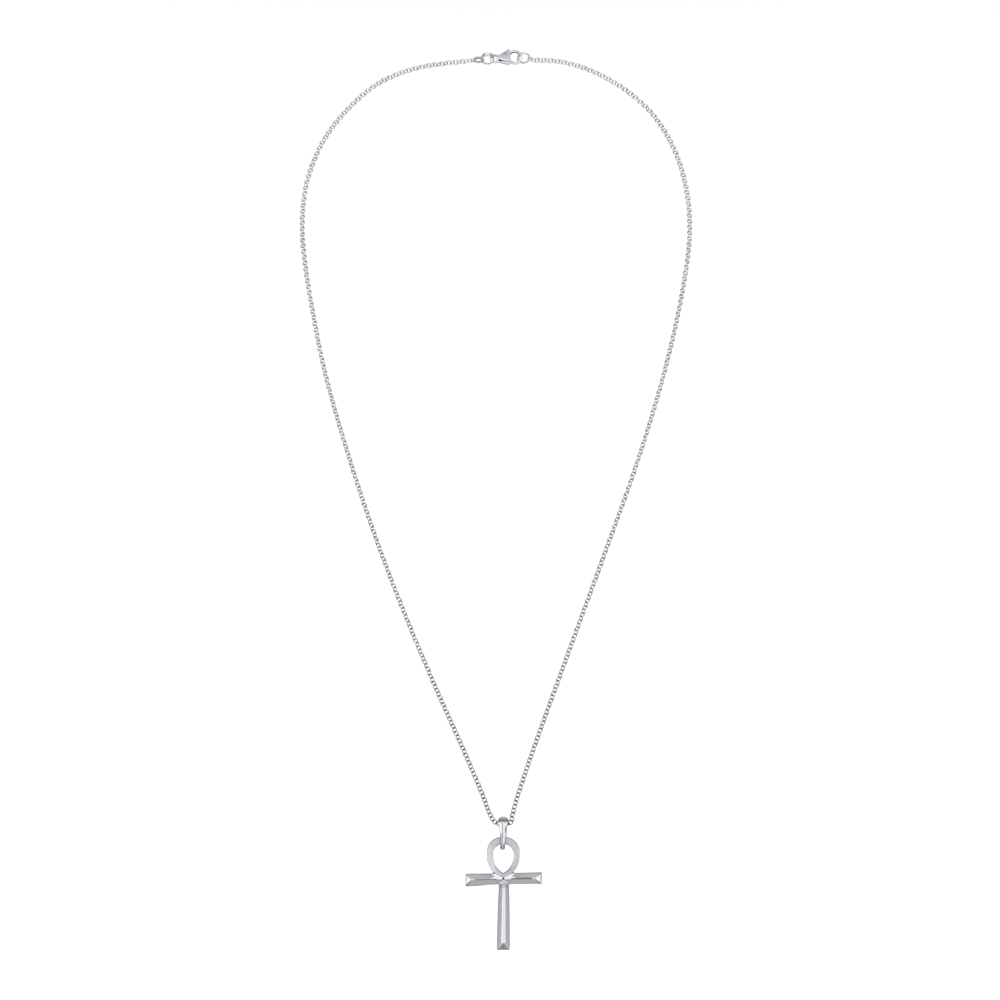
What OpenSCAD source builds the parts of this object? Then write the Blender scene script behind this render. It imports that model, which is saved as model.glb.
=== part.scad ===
// Ankh cross pendant on its worn chain: a fine belcher chain with a lobster clasp,
// a tapered bail and a looped cross with ridged arms.
// Millimetres. The clasp lies at the nape, at the origin. +Z is up and the front faces -Y.

/* [Chain] */
// Outside diameter of the chain
chain_d = 1.4; // [1.2:0.05:1.4]
// Outside diameter of the last link at each end of the chain
link_d = 1.5; // [1.45:0.01:1.52]
// Wire thickness of that link
link_wire = 0.23; // [0.2:0.01:0.24]

/* [Cross] */
// Width across both arms
arm_span = 19.6; // [18:0.1:21]
// Height of an arm at its outer end
arm_end_h = 3; // [2.6:0.1:3.4]
// Height of an arm beside the middle
arm_inner_h = 2.56; // [2.4:0.02:2.6]
// Length of the upright below the arms' ridge
bar_l = 18.35; // [15:0.05:20]
// Width of the upright at its foot
bar_end_w = 3.3; // [2.8:0.1:3.8]
// Depth of the cross from its flat back to its ridges
ridge_t = 1.9; // [1.7:0.05:2.1]
// Depth of the cross at the outer edges of arms and upright
edge_t = 1.1; // [0.9:0.05:1.2]
// Depth of the flat loop
loop_t = 1.4; // [1.3:0.05:1.4]

/* [Bail] */
// Width of the bail over the chain
bail_cap_w = 2.6; // [2:0.1:2.6]
// Width of the bail at its foot
bail_foot_w = 1.16; // [0.9:0.02:1.4]
// Metal beside the chain
bail_wall = 0.8; // [0.7:0.05:0.9]

/* [Clasp] */
// Thickness of the clasp's body
clasp_t = 2; // [1.8:0.1:2.2]
// Slot between the body's cheeks
slot_w = 1.1; // [1:0.05:1.2]
// Thickness of the lever in the slot
lever_t = 0.9; // [0.8:0.05:0.95]
// Thickness of the hook's rounded arm
hook_wire = 0.8; // [0.7:0.05:0.8]

/* [Rings] */
// Wire of the two rings between chain and clasp eye
ring_wire = 0.52; // [0.45:0.01:0.55]
// Wire of the ring that the hook holds
catch_wire = 0.55; // [0.45:0.01:0.58]

/* [Hidden] */

silver = [0.80, 0.80, 0.82];
silver_light = [0.88, 0.88, 0.90];

// The chain's lowest point, inside the bail, on the bail's hinge line
hang = [0, -122, -212.9];
// Each half of the chain, from its last link at the nape down to the bail
route_left = [
    [-9.6, 0, -1], [-16.5, -2, -2], [-24, -5, -3.5], [-31, -7.5, -6],
    [-37, -11, -9.5], [-43, -14.5, -15], [-51, -22, -26], [-55.5, -30, -38.5],
    [-56.5, -39, -52], [-55, -48.5, -65], [-52.5, -57, -78], [-49.5, -65.5, -91.5],
    [-41.5, -81.5, -118], [-32, -96, -144.5], [-20.5, -109, -172],
    [-8, -118.5, -199.5], [-4.8, -120.5, -207], [-3.2, -121.6, -211],
    [-2, -122, -212.6], hang
];
route_right = [
    [8.9, 0, -0.8], [16, -2.5, -1.5], [23, -5, -3.5], [30, -8, -7],
    [36, -11, -11.2], [41.5, -14.5, -16.4], [48.5, -22, -28], [52, -30.5, -41],
    [52.5, -39.5, -54], [50.7, -49, -67], [47.9, -58, -80], [44.5, -66.5, -93],
    [36, -82.5, -119.5], [26, -97.5, -146], [15.5, -110, -173.5],
    [5.2, -119.5, -201.5], [3.2, -120.9, -207.5], [2.3, -121.6, -211],
    [1.95, -122, -212.5], hang
];
// Longest step between two rings of the chain's tube
chain_step = 8;
chain_sides = 8;

// Middles of the rings and last links along the nape, and how each leans about X
link_r = (link_d - link_wire) / 2;
link_left_at = [-8.71, 0, -0.8];
link_right_at = [7.97, 0, -0.5];
link_lean = 45;
ring_left_at = [-7.1, 0, -0.6];
ring_left_r = 1.4;
ring_left_lean = -50;
ring_eye_at = [-4.5, 0, -0.38];
ring_eye_r = 1.8;
ring_eye_lean = 50;
ring_hook_at = [6.05, 0, -0.15];
ring_hook_r = 1.72;
ring_hook_lean = 48;

// Clasp: eye, hook and pivot, seen from the front
eye_at = [-2.4, -0.38];
eye_r = 1.05;
eye_wire = 0.68;
hook_at = [3.45, 0];
hook_r = 1.75;
hook_from = -100;
hook_to = 125;
mouth_r = 1.4;
pivot_at = [0.95, 0.15];
pin_d = 0.6;
pin_play = 0.06;
jaw_from = 200;
jaw_to = 275;
// The lever's jaw ends on an arc about the pivot, and the hook's tip begins past it
jaw_reach = 3.03;
tip_reach = 3.13;
slot_from = -0.3;
groove_w = 0.2;
groove_depth = 0.25;

// Cross: the loop's outline, as radii and heights above the arms' ridge
loop_top_r = 3.76;
loop_top_z = 6.9;
loop_shift = 0.45;
loop_half_w = 4.21;
loop_side_r = 5.67;
loop_side_z = 5.8;
eye_top_r = 2.71;
eye_top_z = 6.21;
eye_side_r = 5.15;
eye_side_z = 5.93;
band_mid_z = 9.79;
arm_hip = 1.8;
bar_hip = 1.7;
bar_top_w = 2.54;
bar_flat = 0.7;
bar_ridge_drop = 0.04;
shoulder_in = 0.15;
shoulder_out = 3.7;
shoulder_low = -0.1;
shoulder_t = 1.82;
ear_x = 2.5;
ear_z = 1.7;
ear_t = 1.45;

// Bail: upper and lower rounds of its side view, from the hinge line on the chain
bail_up_z = -0.3;
bail_up_r = 1.35;
bail_low_z = -4.35;
bail_low_r = 1.2;
bail_foot_z = -4.75;
bail_crown = 1.85;
crease_w = 0.28;
crease_l = 5.2;
crease_mid_z = -2.3;
crease_lean = -3.1;

big = 30;
round_fn = 96;
wire_fn = 32;

function unit(v) = v / norm(v);

// Direction of a polyline at a point, the nearer neighbour counting more
function way(p, i) =
    let (a = p[i] - p[i - 1], b = p[i + 1] - p[i])
    unit(unit(a) * norm(b) + unit(b) * norm(a));

function way_at(p, i, last_way) =
    i == 0 ? unit(p[1] - p[0]) :
    i == len(p) - 1 ? last_way :
    way(p, i);

// Point of the smooth curve from a, leaving along u, to b, arriving along v
function between(a, u, b, v, t) =
    let (l = norm(b - a))
    a * (1 + 2 * t) * (1 - t) * (1 - t) + u * l * t * (1 - t) * (1 - t)
    + b * t * t * (3 - 2 * t) - v * l * t * t * (1 - t);

function stations(p, last_way) = [
    for (i = [0 : len(p) - 2])
        let (n = max(1, round(norm(p[i + 1] - p[i]) / chain_step)))
        for (k = [0 : n - 1])
            between(p[i], way_at(p, i, last_way), p[i + 1], way_at(p, i + 1, last_way), k / n),
    p[len(p) - 1]
];

function ring_points(c, w, r) =
    let (side = unit(cross(w, [0, 1, 0])), up = cross(side, w))
    [for (k = [0 : chain_sides - 1])
        let (a = 360 * (k + 0.5) / chain_sides)
        c + r * (cos(a) * side + sin(a) * up)];

// Shapes are drawn as seen from the front, x to the right and y up, then stood upright
module plate(t) {
    rotate([90, 0, 0])
        linear_extrude(height = t, center = true)
            children();
}

// From the depth y0 forward to y1, both measured towards the back
module slab(y0, y1) {
    translate([0, y0, 0])
        rotate([90, 0, 0])
            linear_extrude(height = y0 - y1)
                children();
}

module hoop(at, r, wire, lean) {
    translate(at)
        rotate([90 + lean, 0, 0])
            rotate_extrude($fn = round_fn)
                translate([r, 0])
                    circle(d = wire, $fn = wire_fn);
}

module tube(route, last_way) {
    s = stations(route, last_way);
    n = chain_sides;
    count = len(s);
    points = [for (j = [0 : count - 1])
        each ring_points(s[j], way_at(s, j, last_way), chain_d / 2)];
    walls = [for (j = [0 : count - 2], k = [0 : n - 1])
        let (a = j * n + k, b = j * n + (k + 1) % n)
        each [[a, b, b + n], [a, b + n, a + n]]];
    first_cap = [for (k = [n - 1 : -1 : 0]) k];
    last_cap = [for (k = [0 : n - 1]) (count - 1) * n + k];
    polyhedron(points = points, faces = concat(walls, [first_cap, last_cap]));
}

module chain_left() {
    color(silver)
        tube(route_left, [1, 0, 0]);
}

module chain_right() {
    color(silver)
        tube(route_right, [-1, 0, 0]);
}

module link_left() {
    color(silver)
        hoop(link_left_at, link_r, link_wire, link_lean);
}

module link_right() {
    color(silver)
        hoop(link_right_at, link_r, link_wire, -link_lean);
}

module ring_left() {
    color(silver_light)
        hoop(ring_left_at, ring_left_r, ring_wire, ring_left_lean);
}

module ring_eye() {
    color(silver_light)
        hoop(ring_eye_at, ring_eye_r, ring_wire, ring_eye_lean);
}

module ring_hook() {
    color(silver_light)
        hoop(ring_hook_at, ring_hook_r, catch_wire, ring_hook_lean);
}

// Part of the hook's round, from one angle to another
module hook_arc(from, to) {
    translate([hook_at[0], 0, hook_at[1]])
        rotate([90, 0, 0])
            rotate_extrude(angle = to - from, start = from, $fn = round_fn)
                translate([hook_r, 0])
                    circle(d = hook_wire, $fn = wire_fn);
}

module clasp_cheeks() {
    difference() {
        plate(clasp_t)
            polygon([[-1.75, 0.45], [1.35, 2.05], [1.8, 2.1], [2.7, 1.9], [2.7, 1.2],
                [2, 0], [2, -1.6], [1.7, -2.15], [-1.75, -1.45]]);
        plate(clasp_t * 2)
            translate(hook_at)
                circle(r = mouth_r, $fn = round_fn);
        plate(slot_w)
            polygon([[slot_from, -big], [big, -big], [big, 1.15], [1.8, 1.15],
                [1.8, big], [slot_from, big]]);
        for (side = [-1, 1])
            translate([-1.4, side * clasp_t / 2, -0.72])
                rotate([0, 11, 0])
                    translate([0, -groove_depth, -groove_w / 2])
                        cube([3.6, groove_depth * 2, groove_w]);
    }
}

module clasp_body() {
    color(silver)
        union() {
            difference() {
                clasp_cheeks();
                translate([eye_at[0], 0, eye_at[1]])
                    rotate([90, 0, 0])
                        cylinder(r = eye_r, h = clasp_t * 2, center = true, $fn = round_fn);
            }
            hoop([eye_at[0], 0, eye_at[1]], eye_r, eye_wire, 0);
            difference() {
                hook_arc(hook_from, hook_to);
                intersection() {
                    plate(hook_wire * 2)
                        translate(pivot_at)
                            circle(r = tip_reach, $fn = round_fn);
                    translate([0, -big / 2, -big - 0.6])
                        cube([big, big, big]);
                }
            }
            translate([pivot_at[0], 0, pivot_at[1]])
                rotate([90, 0, 0])
                    cylinder(d = pin_d, h = clasp_t, center = true, $fn = round_fn);
        }
}

module clasp_lever() {
    color(silver_light)
        difference() {
            union() {
                plate(lever_t)
                    polygon([[1.1, 2.5], [1.62, 2.45], [1.62, 0.9], [1.9, 0.3], [1.9, -0.6],
                        [2.3, -1.2], [2.05, -1.9], [1.3, -1.9], [0.5, -1.1], [0.3, 0.1],
                        [0.5, 0.9], [1.05, 1.7]]);
                intersection() {
                    hook_arc(jaw_from, jaw_to);
                    plate(hook_wire * 2)
                        translate(pivot_at)
                            circle(r = jaw_reach, $fn = round_fn);
                }
            }
            plate(lever_t * 2)
                translate(pivot_at)
                    circle(d = pin_d + 2 * pin_play, $fn = round_fn);
        }
}

// Two rounds one above the other with straight sides between them
module drop_round(z1, r1, z2, r2) {
    s = asin((r2 - r1) / (z1 - z2));
    translate([0, z1]) circle(r = r1, $fn = round_fn);
    translate([0, z2]) circle(r = r2, $fn = round_fn);
    polygon([
        [r1 * cos(s), z1 + r1 * sin(s)], [-r1 * cos(s), z1 + r1 * sin(s)],
        [-r2 * cos(s), z2 + r2 * sin(s)], [r2 * cos(s), z2 + r2 * sin(s)]
    ]);
}

module bail_side() {
    difference() {
        drop_round(bail_up_z, bail_up_r + bail_wall, bail_foot_z, bail_low_r + bail_wall);
        drop_round(bail_up_z, bail_up_r, bail_low_z, bail_low_r);
    }
}

module bail_front() {
    cap = bail_cap_w / 2;
    foot = bail_foot_w / 2;
    right = [
        [cap * 0.82, bail_crown], [cap, bail_crown - 0.55], [cap, bail_crown - 0.95],
        [cap * 0.8, bail_crown - 1.8], [cap * 0.7, bail_crown - 4.2],
        [foot + 0.05, bail_crown - 5.4], [foot, bail_crown - 7.9], [foot * 0.6, -big]
    ];
    left = [for (i = [len(right) - 1 : -1 : 0]) [-right[i][0], right[i][1]]];
    polygon(concat(right, left));
}

module bail() {
    color(silver_light)
        translate(hang)
            difference() {
                intersection() {
                    rotate([0, 0, 90])
                        plate(bail_cap_w + 1)
                            bail_side();
                    plate(big)
                        bail_front();
                }
                translate([0, -(bail_up_r + bail_wall), 0])
                    rotate([crease_lean, 0, 0])
                        translate([0, 0, crease_mid_z])
                            rotate([0, 0, 45])
                                cube([crease_w, crease_w, crease_l], center = true);
            }
}

// A pointed drop: two rounds side by side on top, upright sides, and two arcs below
module loop_outline() {
    for (side = [-1, 1])
        translate([side * loop_shift, loop_top_z])
            circle(r = loop_top_r, $fn = round_fn);
    translate([-loop_shift, loop_top_z])
        square([2 * loop_shift, loop_top_r]);
    translate([-loop_half_w, loop_side_z])
        square([2 * loop_half_w, loop_top_z - loop_side_z]);
    pointed(loop_half_w, loop_side_r, loop_side_z);
}

module eye_outline() {
    translate([0, eye_top_z])
        circle(r = eye_top_r, $fn = round_fn);
    translate([-eye_top_r, eye_side_z])
        square([2 * eye_top_r, eye_top_z - eye_side_z]);
    pointed(eye_top_r, eye_side_r, eye_side_z);
}

// The part below z of two arcs that meet in a point
module pointed(half_w, r, z) {
    intersection() {
        translate([half_w - r, z]) circle(r = r, $fn = round_fn);
        translate([r - half_w, z]) circle(r = r, $fn = round_fn);
        translate([-half_w, z - big]) square([2 * half_w, big]);
    }
}

// Both arms in one: a flat back, sloping faces up to a ridge and a hip at each end
module arms() {
    l = arm_span / 2;
    a = arm_inner_h / 2;
    b = arm_end_h / 2;
    back = loop_t / 2;
    edge_y = back - edge_t;
    ridge_y = back - ridge_t;
    polyhedron(
        points = [
            [-l, back, -b], [-l, edge_y, -b], [-l, edge_y, b], [-l, back, b],
            [0, back, -a], [0, edge_y, -a], [0, edge_y, a], [0, back, a],
            [l, back, -b], [l, edge_y, -b], [l, edge_y, b], [l, back, b],
            [arm_hip - l, ridge_y, 0], [0, ridge_y, 0], [l - arm_hip, ridge_y, 0]
        ],
        faces = [
            [3, 2, 1, 0], [9, 10, 11, 8], [4, 7, 3, 0], [8, 11, 7, 4],
            [1, 5, 4, 0], [5, 9, 8, 4], [3, 7, 6, 2], [7, 11, 10, 6],
            [2, 12, 1], [14, 10, 9],
            [12, 5, 1], [12, 13, 5], [13, 9, 5], [13, 14, 9],
            [6, 12, 2], [13, 12, 6], [10, 13, 6], [14, 13, 10]
        ]);
}

// The upright, hanging from the arms' ridge, with a narrow flat along its ridge
module upright() {
    a = bar_top_w / 2;
    b = bar_end_w / 2;
    f = bar_flat / 2;
    back = loop_t / 2;
    edge_y = back - edge_t;
    ridge_y = back - ridge_t + bar_ridge_drop;
    foot = bar_hip - bar_l;
    polyhedron(
        points = [
            [-a, back, 0], [a, back, 0], [b, back, -bar_l], [-b, back, -bar_l],
            [-a, edge_y, 0], [a, edge_y, 0], [b, edge_y, -bar_l], [-b, edge_y, -bar_l],
            [-f, ridge_y, 0], [f, ridge_y, 0], [f, ridge_y, foot], [-f, ridge_y, foot]
        ],
        faces = [
            [0, 3, 2, 1], [1, 2, 6, 5], [3, 0, 4, 7], [2, 3, 7, 6],
            [0, 1, 5, 9, 8, 4], [8, 9, 10, 11], [6, 7, 11, 10],
            [5, 6, 10], [5, 10, 9], [7, 4, 8], [7, 8, 11]
        ]);
}

// The raised three-cornered face between an arm's ridge and the loop
module shoulder(side) {
    back = loop_t / 2;
    corners = [[side * shoulder_in, shoulder_low], [side * shoulder_out, shoulder_low],
        [side * ear_x, ear_z]];
    deep = [shoulder_t, shoulder_t, ear_t];
    order = side > 0 ? [0, 1, 2] : [0, 2, 1];
    polyhedron(
        points = concat(
            [for (i = order) [corners[i][0], back, corners[i][1]]],
            [for (i = order) [corners[i][0], back - deep[i], corners[i][1]]]),
        faces = [[1, 2, 0], [5, 4, 3], [3, 4, 1, 0], [4, 5, 2, 1], [5, 3, 0, 2]]);
}

module ankh() {
    color(silver)
        translate(hang + [0, 0, bail_low_z - band_mid_z])
            union() {
                difference() {
                    union() {
                        arms();
                        upright();
                        for (side = [-1, 1])
                            shoulder(side);
                    }
                    slab(-loop_t / 2, -big)
                        loop_outline();
                }
                difference() {
                    plate(loop_t)
                        loop_outline();
                    plate(loop_t * 2)
                        eye_outline();
                }
            }
}

chain_left();
chain_right();
link_left();
link_right();
ring_left();
ring_eye();
ring_hook();
clasp_body();
clasp_lever();
bail();
ankh();
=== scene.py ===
from math import pi, radians

import bpy
import numpy as np
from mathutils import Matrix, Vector


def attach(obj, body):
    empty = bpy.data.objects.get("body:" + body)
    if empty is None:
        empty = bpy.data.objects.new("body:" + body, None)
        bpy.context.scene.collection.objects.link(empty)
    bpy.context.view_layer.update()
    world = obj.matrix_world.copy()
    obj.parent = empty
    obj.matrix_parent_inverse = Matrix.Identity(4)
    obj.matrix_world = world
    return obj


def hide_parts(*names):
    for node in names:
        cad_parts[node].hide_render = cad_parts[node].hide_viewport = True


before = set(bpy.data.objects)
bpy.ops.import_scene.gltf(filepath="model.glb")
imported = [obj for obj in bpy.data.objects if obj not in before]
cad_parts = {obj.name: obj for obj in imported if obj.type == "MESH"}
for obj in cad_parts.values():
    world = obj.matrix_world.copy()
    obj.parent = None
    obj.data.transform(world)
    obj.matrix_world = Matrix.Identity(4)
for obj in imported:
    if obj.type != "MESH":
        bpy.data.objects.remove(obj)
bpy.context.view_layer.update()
mm = 0.001
print("frame loaded:", len(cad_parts), "nodes")


def buildMesh(name, points, faces, smoothAngle, paintedShade):
    # A closed mesh from points and quads, which keeps for each point how much painted shade it carries. The
    # quads are turned over if the volume under them, summed as corner triple products, comes out negative
    faces = np.asarray(faces, np.int32)
    a, b, c, d = (points[faces[:, k]] for k in range(4))
    volume = np.einsum("ij,ij->i", a, np.cross(b, c) + np.cross(c, d)).sum()
    if volume < 0:
        faces = faces[:, ::-1]
    mesh = bpy.data.meshes.new(name)
    mesh.vertices.add(len(points))
    mesh.vertices.foreach_set("co", points.astype(np.float32).ravel())
    mesh.loops.add(faces.size)
    mesh.loops.foreach_set("vertex_index", faces.ravel())
    mesh.polygons.add(len(faces))
    mesh.polygons.foreach_set("loop_start", np.arange(0, faces.size, 4, dtype=np.int32))
    mesh.polygons.foreach_set("use_smooth", np.ones(len(faces), bool))
    mesh.update()
    mesh.validate()
    mesh.set_sharp_from_angle(angle=radians(smoothAngle))
    paintedShadeLayer = mesh.attributes.new("paintedShade", "FLOAT", "POINT")
    paintedShadeLayer.data.foreach_set("value", paintedShade.astype(np.float32).ravel())
    piece = bpy.data.objects.new(name, mesh)
    bpy.context.scene.collection.objects.link(piece)
    return piece


def gridQuads(nu, nv, loopU, loopV):
    # Each grid point's quad: the point, the next one across, and the same two one row on
    i = np.arange(nu if loopU else nu - 1)[:, None]
    j = np.arange(nv if loopV else nv - 1)[None, :]
    nextI, nextJ = (i + 1) % nu, (j + 1) % nv
    corners = i * nv + j, i * nv + nextJ, nextI * nv + nextJ, nextI * nv + j
    return np.stack(np.broadcast_arrays(*corners), -1).reshape(-1, 4)


def wallQuads(front, back):
    # Quads between two closed rings of equally many point numbers
    return np.stack([front, np.roll(front, -1), np.roll(back, -1), back], -1)


def capQuads(ring):
    # A closed ring of an even number of points filled with quads, side to side across it
    n = len(ring)
    i = np.arange(n // 2 - 1)
    return np.stack([ring[i], ring[i + 1], ring[n - 2 - i], ring[n - 1 - i]], -1)


def rimOf(nu, nv):
    # Point numbers round the outside of a grid, once round
    i, j = np.arange(nu), np.arange(nv)
    return np.concatenate([j, i[1:] * nv + nv - 1, (nu - 1) * nv + j[-2::-1], i[-2:0:-1] * nv])


def join(parts):
    # Several closed shells as one: points end to end, each shell's faces counted on from the last
    starts = np.cumsum([0] + [len(points) for points, _ in parts[:-1]])
    faces = [faces + start for (_, faces), start in zip(parts, starts)]
    return np.concatenate([points for points, _ in parts]), np.concatenate(faces)


def smoothMin(a, b, k):
    # The lesser of two heights, rounded over a depth of about k where they meet
    h = np.clip(0.5 + 0.5 * (b - a) / k, 0, 1)
    return b + (a - b) * h - k * h * (1 - h)


def smoothMax(a, b, k):
    # The greater of two heights, rounded the same way
    return -smoothMin(-a, -b, k)


def ease(t):
    # 0 below 0, 1 above 1, and an S-shaped rise between
    t = np.clip(t, 0, 1)
    return t * t * (3 - 2 * t)


def mound(x, width):
    # A bell: 1 at the middle, and about a third at a width from it
    return np.exp(-(x / width) ** 2)


def fillet(inside, r):
    # How far a quarter round of radius r drops the face at a distance inside its edge
    x = np.clip(r - inside, 0, r)
    return r - np.sqrt(np.maximum(r * r - x * x, 0))


def unit(v):
    # Each direction divided by its length
    return v / np.linalg.norm(v, axis=-1, keepdims=True)


def wave(a, b, size):
    # Slow hand-made unevenness: the mean of three crossed sine waves
    waves = np.sin(1.9 * a + 0.7 * b) + np.sin(1.3 * b - 0.8 * a + 1) + np.sin(2.7 * a + 2.1 * b + 2)
    return size * waves / 3


def sided(x, pair):
    # The pair's first value left of the middle and its second one right of it
    return np.where(x > 0, pair[1], pair[0])


def evenEdges(low, high, r, n, m):
    # Places from low to high: m close steps inside each rounded edge and n even ones between them
    step = r * (1 - np.cos(np.linspace(0, pi / 2, m, endpoint=False)))
    return np.r_[low + step, np.linspace(low + r, high - r, n), (high - step)[::-1]]


silverLook = {
    "tint": 0.6,                        # how much light it throws back at a grazing angle
    "detail": 3, "middle": (0.3, 0.7),  # of the noises: their detail, and the part that is used
    "bump": 0.5,
    "dull": 0.3,                        # how much rougher full painted shade makes it
}


def silver(name, look):
    # Silver whose tone and roughness drift slowly over it, with fine rubbing marks in the surface,
    # and darker and duller where the piece's own painted shade is high
    mat = bpy.data.materials.new(name)
    mat.use_nodes = True
    nodes, links = mat.node_tree.nodes, mat.node_tree.links
    shader = nodes["Principled BSDF"]
    shader.inputs["Metallic"].default_value = 1
    shader.inputs["Specular Tint"].default_value = (*[silverLook["tint"]] * 3, 1)
    coords = nodes.new("ShaderNodeTexCoord")

    def noise(scale, stretch=(1, 1, 1)):
        # Noise on the piece's own coordinates, stretched along each axis
        turn = nodes.new("ShaderNodeMapping")
        turn.inputs["Scale"].default_value = stretch
        tex = nodes.new("ShaderNodeTexNoise")
        tex.inputs["Scale"].default_value = scale
        tex.inputs["Detail"].default_value = silverLook["detail"]
        links.new(coords.outputs["Object"], turn.inputs["Vector"])
        links.new(turn.outputs["Vector"], tex.inputs["Vector"])
        return tex.outputs["Fac"]

    def spread(value, low, high):
        # The noise's middle part drawn out from low to high
        node = nodes.new("ShaderNodeMapRange")
        ends = zip(("From Min", "From Max", "To Min", "To Max"), (*silverLook["middle"], low, high))
        for socket, end in ends:
            node.inputs[socket].default_value = end
        links.new(value, node.inputs["Value"])
        return node.outputs["Result"]

    def blend(factor, a, b):
        # a where the factor is 0 and b where it is 1; each is a colour or another node's output
        node = nodes.new("ShaderNodeMix")
        node.data_type = "RGBA"
        for socket, value in (("A", a), ("B", b)):
            if isinstance(value, tuple):
                node.inputs[socket].default_value = (*value, 1)
            else:
                links.new(value, node.inputs[socket])
        links.new(factor, node.inputs["Factor"])
        return node.outputs["Result"]

    drift = noise(look["driftScale"])
    rub = noise(look["rubScale"], look.get("rubStretch", (1, 1, 1)))
    tone = blend(spread(drift, 0, 1), look["deep"], look["bright"])
    rough = spread(rub, look["smooth"], look["rough"])
    # Painted shade: the piece's own value blends the colour towards a shaded tone and dulls it
    if "tarnish" in look:
        paintedShade = nodes.new("ShaderNodeAttribute")
        paintedShade.attribute_name = "paintedShade"
        tone = blend(paintedShade.outputs["Fac"], tone, look["tarnish"])
        dull = nodes.new("ShaderNodeMath")
        dull.operation = "MULTIPLY_ADD"
        dull.inputs[1].default_value = look.get("dull", silverLook["dull"])
        links.new(paintedShade.outputs["Fac"], dull.inputs[0])
        links.new(rough, dull.inputs[2])
        rough = dull.outputs["Value"]
    links.new(tone, shader.inputs["Base Color"])
    links.new(rough, shader.inputs["Roughness"])
    bump = nodes.new("ShaderNodeBump")
    bump.inputs["Strength"].default_value = silverLook["bump"]
    bump.inputs["Distance"].default_value = look["bumpDepth"] * mm
    links.new(rub, bump.inputs["Height"])
    links.new(bump.outputs["Normal"], shader.inputs["Normal"])
    return mat


def dress(piece, mat, body=None):
    # Puts the material on. A piece made here also rides on its body
    piece.data.materials.clear()
    piece.data.materials.append(mat)
    if body:
        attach(piece, body)


view = {
    "place": (-0.00085, -1.024, -0.1295),    # a metre in front of the nape, looking level
    "lens": 126,
    "surround": (0.415, 0.42, 0.435),        # the studio's walls, seen in the silver
    "paper": (0.86, 0.86, 0.865),            # what stands behind the part past the floor's edges
}

camera = bpy.data.objects.new("camera", bpy.data.cameras.new("camera"))
camera.location = view["place"]
camera.rotation_euler = (pi / 2, 0, 0)
camera.data.lens = view["lens"]
camera.data.sensor_width = 36
camera.data.clip_start = 0.01
bpy.context.scene.collection.objects.link(camera)
bpy.context.scene.camera = camera

# The camera sees pale paper past the edges of the floor, and the silver mirrors the darker walls
world = bpy.data.worlds.new("studio")
world.use_nodes = True
tree = world.node_tree
seen = tree.nodes.new("ShaderNodeMix")
seen.data_type = "RGBA"
seen.inputs["A"].default_value = (*view["surround"], 1)
seen.inputs["B"].default_value = (*view["paper"], 1)
rays = tree.nodes.new("ShaderNodeLightPath")
tree.links.new(rays.outputs["Is Camera Ray"], seen.inputs["Factor"])
tree.links.new(seen.outputs["Result"], tree.nodes["Background"].inputs["Color"])
bpy.context.scene.world = world
bpy.context.scene.view_settings.view_transform = "Standard"

lamps = {
    # place, aim, width and height in metres, power in watts
    "leftBox": ((-0.67, -0.97, -0.08), (0, -0.1, -0.18), 0.54, 1.2, 1.9),
    "rightBox": ((0.67, -0.97, -0.08), (0, -0.1, -0.18), 0.54, 1.2, 1.6),
    "frontPanel": ((0, -1.45, -0.15), (0, -0.1, -0.15), 1.0, 1.5, 2.75),
    "highPanel": ((0, -1.05, 0.72), (0, -0.1, -0.15), 0.9, 0.45, 0.45),
    "overhead": ((0, 0.05, 0.8), (0, -0.02, 0), 0.9, 0.4, 0.8),
    "wallLeft": ((-0.6, 0.7, -0.15), (-0.1, 1.4, -0.15), 0.4, 0.7, 4.2),
    "wallRight": ((0.6, 0.7, -0.15), (0.1, 1.4, -0.15), 0.4, 0.7, 4.2),
}
for name, (place, aim, width, height, power) in lamps.items():
    lamp = bpy.data.lights.new(name, "AREA")
    lamp.shape = "RECTANGLE"
    lamp.size, lamp.size_y, lamp.energy = width, height, power
    holder = bpy.data.objects.new(name, lamp)
    holder.location = place
    holder.rotation_euler = (Vector(aim) - Vector(place)).to_track_quat("-Z", "Y").to_euler()
    holder.visible_camera = False
    bpy.context.scene.collection.objects.link(holder)

sweep = {
    "floorZ": -1.3, "wallY": 1.4, "round": 0.45,      # floor, wall and the bend between them, metres
    "top": 1.1, "front": -0.45, "half": 0.75,         # the wall's top, floor's front, half the width
    "bendSteps": 24,
    "colour": (0.93, 0.93, 0.93), "rough": 0.9,
}


def sweepSurface(look):
    # A floor that turns up through a quarter round into a wall, one profile carried across
    t = np.linspace(0, pi / 2, look["bendSteps"])
    y = np.r_[look["front"], look["wallY"] - look["round"] + look["round"] * np.sin(t), look["wallY"]]
    z = np.r_[look["floorZ"], look["floorZ"] + look["round"] * (1 - np.cos(t)), look["top"]]
    x = np.array([-look["half"], look["half"]])
    return np.stack(np.broadcast_arrays(x[None, :], y[:, None], z[:, None]), -1)


grid = sweepSurface(sweep)
mesh = bpy.data.meshes.new("floor")
mesh.from_pydata(grid.reshape(-1, 3).tolist(), [], gridQuads(*grid.shape[:2], False, False)[:, ::-1].tolist())
mesh.polygons.foreach_set("use_smooth", np.ones(len(mesh.polygons), bool))
floor = bpy.data.objects.new("floor", mesh)
bpy.context.scene.collection.objects.link(floor)
paper = bpy.data.materials.new("paper")
paper.use_nodes = True
shader = paper.node_tree.nodes["Principled BSDF"]
shader.inputs["Base Color"].default_value = (*sweep["colour"], 1)
shader.inputs["Roughness"].default_value = sweep["rough"]
floor.data.materials.append(paper)
print("camera, light and floor set")

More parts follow.
